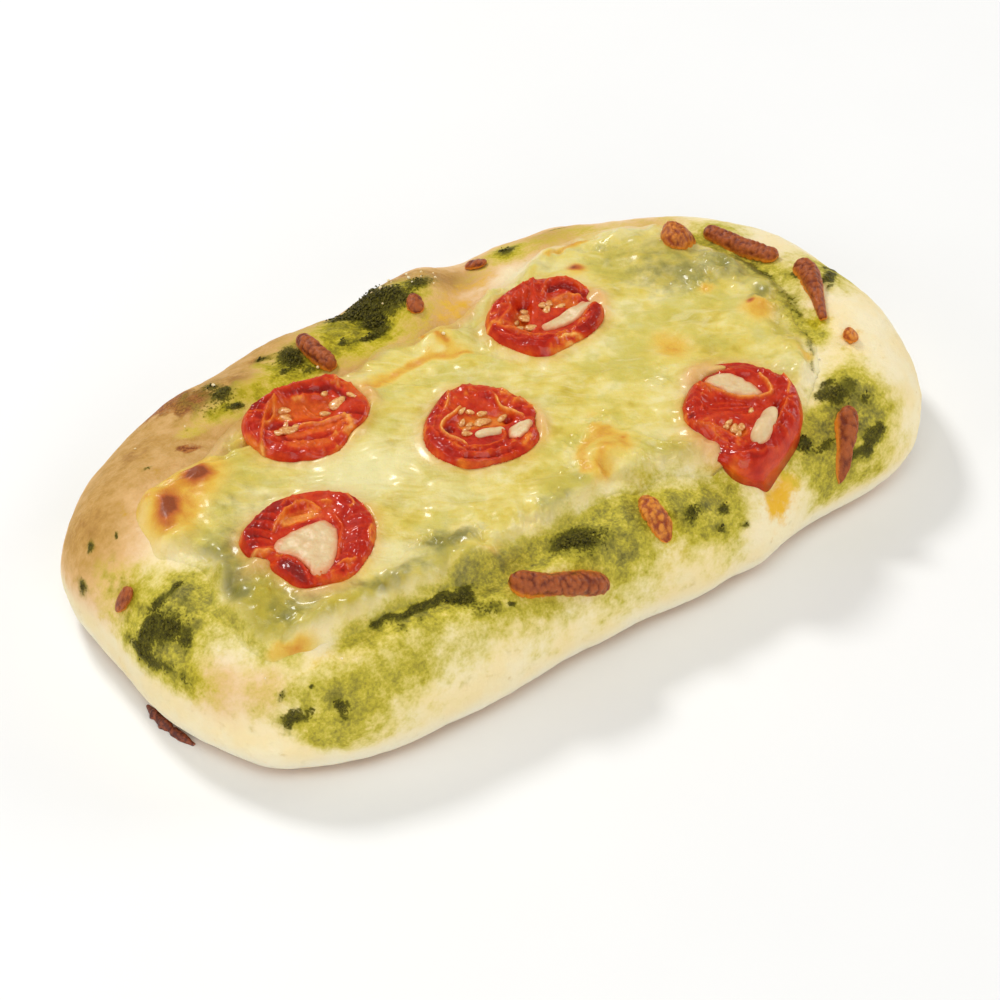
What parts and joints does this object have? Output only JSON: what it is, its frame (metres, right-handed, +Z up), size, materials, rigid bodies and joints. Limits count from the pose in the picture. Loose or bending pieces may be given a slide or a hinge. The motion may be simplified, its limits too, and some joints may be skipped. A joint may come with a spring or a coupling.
{
  "type": "caprese focaccia",
  "caption": "Small oval baked focaccia with a puffy rim, a bed of melted cheese, dried tomato halves, browned cheese strands and green herb sauce.",
  "frame": {"origin": "centre of the bounding box at the flat base, where the bread rests", "axes": "+X along the loaf to its right end as seen from its front, +Y to its back, +Z up"},
  "size_m": [0.1812, 0.1044, 0.0331],
  "materials": {
    "crust": "soft baked crust, pale cream below and golden at the back",
    "melted_cheese": "melted cheese with an oily shine",
    "dried_tomato": "moist wrinkled tomato flesh",
    "browned_cheese": "browned cheese with a dull shine",
    "pale_cheese": "moist pale cheese",
    "burnt_cheese": "dark burnt scrap"
  },
  "bodies": {
    "root": {"bread": "crust", "melted_cheese": "melted_cheese", "tomato_1": "dried_tomato", "tomato_2": "dried_tomato", "tomato_3": "dried_tomato", "tomato_4": "dried_tomato", "tomato_5": "dried_tomato", "browned_strand_front": "browned_cheese", "browned_strand_right": "browned_cheese", "browned_blister_front": "browned_cheese", "browned_lump_back": "browned_cheese", "browned_strand_back": "browned_cheese", "browned_strand_corner": "browned_cheese", "browned_bead_right": "browned_cheese", "browned_strand_left": "browned_cheese", "browned_bead_back": "browned_cheese", "browned_bead_left": "browned_cheese", "browned_strand_top": "browned_cheese", "cheese_strand_1": "pale_cheese", "cheese_strand_2": "pale_cheese", "cheese_strand_3": "pale_cheese", "cheese_strand_4": "pale_cheese", "cheese_strand_5": "pale_cheese", "cheese_strand_6": "pale_cheese", "burnt_scrap": "burnt_cheese"}
  },
  "joints": []
}
